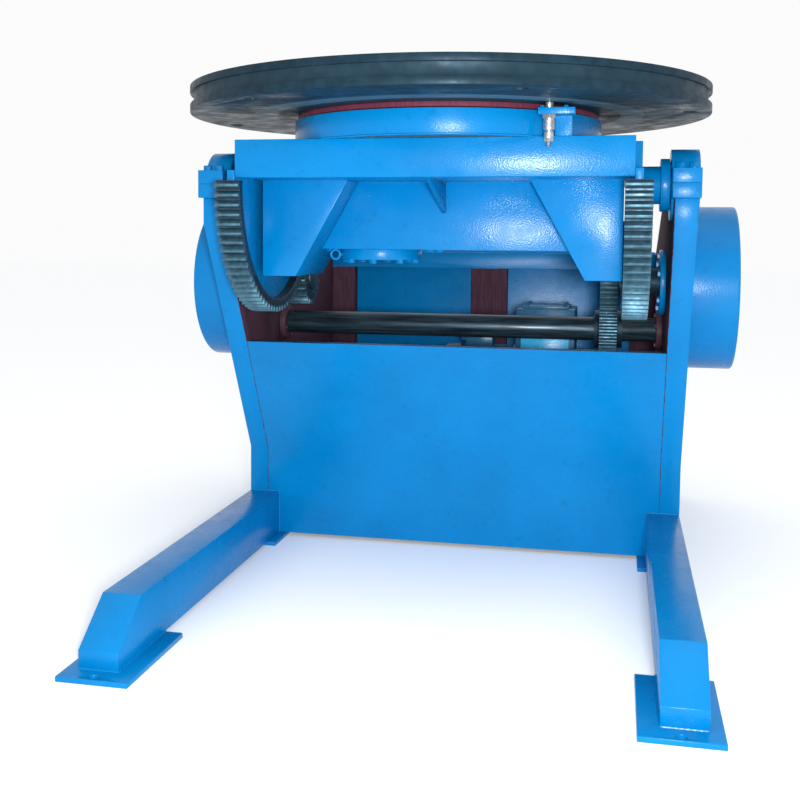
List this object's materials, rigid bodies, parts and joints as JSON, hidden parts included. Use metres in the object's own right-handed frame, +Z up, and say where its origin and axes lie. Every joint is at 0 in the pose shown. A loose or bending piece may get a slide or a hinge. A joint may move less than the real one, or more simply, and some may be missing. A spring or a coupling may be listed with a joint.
{
  "type": "welding positioner",
  "caption": "Floor-standing welding positioner: a round slewing table on a tilting frame, driven by toothed sectors, pinions and a cross shaft in a blue base on box runners.",
  "frame": {"origin": "on the floor, under the middle of the base's outline", "axes": "+Z up, +X across the machine along the tilt axis, +Y from the front runners' tips towards the back panel"},
  "size_m": [1.606, 2.12, 1.352],
  "materials": {
    "table_steel": "dark, turned and oiled",
    "blue_paint": "gloss hammered enamel",
    "wall_paint": "gloss enamel outside, red oxide primer inside",
    "primer": "matt red oxide primer",
    "gear_steel": "hobbed, uncoated",
    "shaft_steel": "black, oiled",
    "bright_steel": "zinc plated",
    "ring_steel": "ground"
  },
  "bodies": {
    "base": {"column_left": "wall_paint", "leg_left": "blue_paint", "pad_front_left": "blue_paint", "pad_middle_left": "blue_paint", "pad_rear_left": "blue_paint", "bearing_saddle_left": "blue_paint", "bearing_cap_left": "blue_paint", "cap_bolts_left": "bright_steel", "gear_cover_left": "blue_paint", "cover_plate_left": "blue_paint", "pinion_flange_left": "blue_paint", "cross_flange_left": "primer", "column_right": "wall_paint", "leg_right": "blue_paint", "pad_front_right": "blue_paint", "pad_middle_right": "blue_paint", "pad_rear_right": "blue_paint", "bearing_saddle_right": "blue_paint", "bearing_cap_right": "blue_paint", "cap_bolts_right": "bright_steel", "gear_cover_right": "blue_paint", "cover_plate_right": "blue_paint", "pinion_flange_right": "blue_paint", "cross_flange_right": "primer", "front_panel": "blue_paint", "rear_frame": "primer", "rear_panel": "blue_paint", "rear_beam": "blue_paint", "drive_shelf": "primer", "reducer": "blue_paint", "drive_motor": "blue_paint"},
    "tilt_frame": {"platform": "blue_paint", "belly_box": "blue_paint", "gusset": "blue_paint", "guard": "blue_paint", "slewing_race": "ring_steel", "slew_gearbox": "blue_paint", "brush_bracket": "blue_paint", "side_box_left": "blue_paint", "web_left": "blue_paint", "trunnion_left": "blue_paint", "sector_left": "gear_steel", "side_box_right": "blue_paint", "web_right": "blue_paint", "trunnion_right": "blue_paint", "sector_right": "gear_steel"},
    "turntable": {"table": "table_steel", "adapter_ring": "primer", "geared_ring": "gear_steel"},
    "slew_drive": {"slew_pinion": "gear_steel"},
    "pickup_rod": {"brush_rod": "bright_steel"},
    "pinion_shaft_left": {"tilt_pinion_left": "gear_steel", "drive_wheel_left": "gear_steel"},
    "pinion_shaft_right": {"tilt_pinion_right": "gear_steel", "drive_wheel_right": "gear_steel"},
    "sync_shaft": {"cross_shaft": "shaft_steel", "cross_gear": "gear_steel", "drive_pinion_left": "gear_steel", "drive_pinion_right": "gear_steel"},
    "reducer_output": {"motor_pinion": "gear_steel"}
  },
  "joints": [
    {"name": "tilt", "type": "hinge", "parent": "base", "child": "tilt_frame", "pos_m": [0, -0.12, 1.1], "axis": [1, 0, 0], "range_deg": [0, 120]},
    {"name": "table_spin", "type": "hinge", "parent": "tilt_frame", "child": "turntable", "pos_m": [0, -0.12, 1.3], "axis": [0, 0, 1], "continuous": true},
    {"name": "slew_pinion_spin", "type": "hinge", "parent": "tilt_frame", "child": "slew_drive", "pos_m": [-0.201, -0.04091, 1.23], "axis": [0, 0, 1], "continuous": true},
    {"name": "pickup_slide", "type": "slide", "parent": "tilt_frame", "child": "pickup_rod", "axis": [0, 0, 1], "range_m": [-0.012, 0], "stiffness_N_per_m": 400, "springref_m": 0.03},
    {"name": "pinion_left_spin", "type": "hinge", "parent": "base", "child": "pinion_shaft_left", "pos_m": [-0.6, 0.2162, 0.82872], "axis": [1, 0, 0], "range_deg": [-540, 12]},
    {"name": "pinion_right_spin", "type": "hinge", "parent": "base", "child": "pinion_shaft_right", "pos_m": [0.6, 0.2162, 0.82872], "axis": [1, 0, 0], "range_deg": [-540, 12]},
    {"name": "cross_shaft_spin", "type": "hinge", "parent": "base", "child": "sync_shaft", "pos_m": [0, 0.33652, 0.67527], "axis": [1, 0, 0], "range_deg": [-40, 1800]},
    {"name": "reducer_spin", "type": "hinge", "parent": "base", "child": "reducer_output", "pos_m": [0.4, 0.53312, 0.53761], "axis": [1, 0, 0], "range_deg": [-6182.22, 120]}
  ],
  "couplings": [
    {"joint": "slew_pinion_spin", "follows": "table_spin", "ratio": 4.6},
    {"joint": "pinion_left_spin", "follows": "tilt", "ratio": -4.4},
    {"joint": "pinion_right_spin", "follows": "tilt", "ratio": -4.4},
    {"joint": "cross_shaft_spin", "follows": "tilt", "ratio": 14.667},
    {"joint": "reducer_spin", "follows": "tilt", "ratio": -50.519}
  ]
}
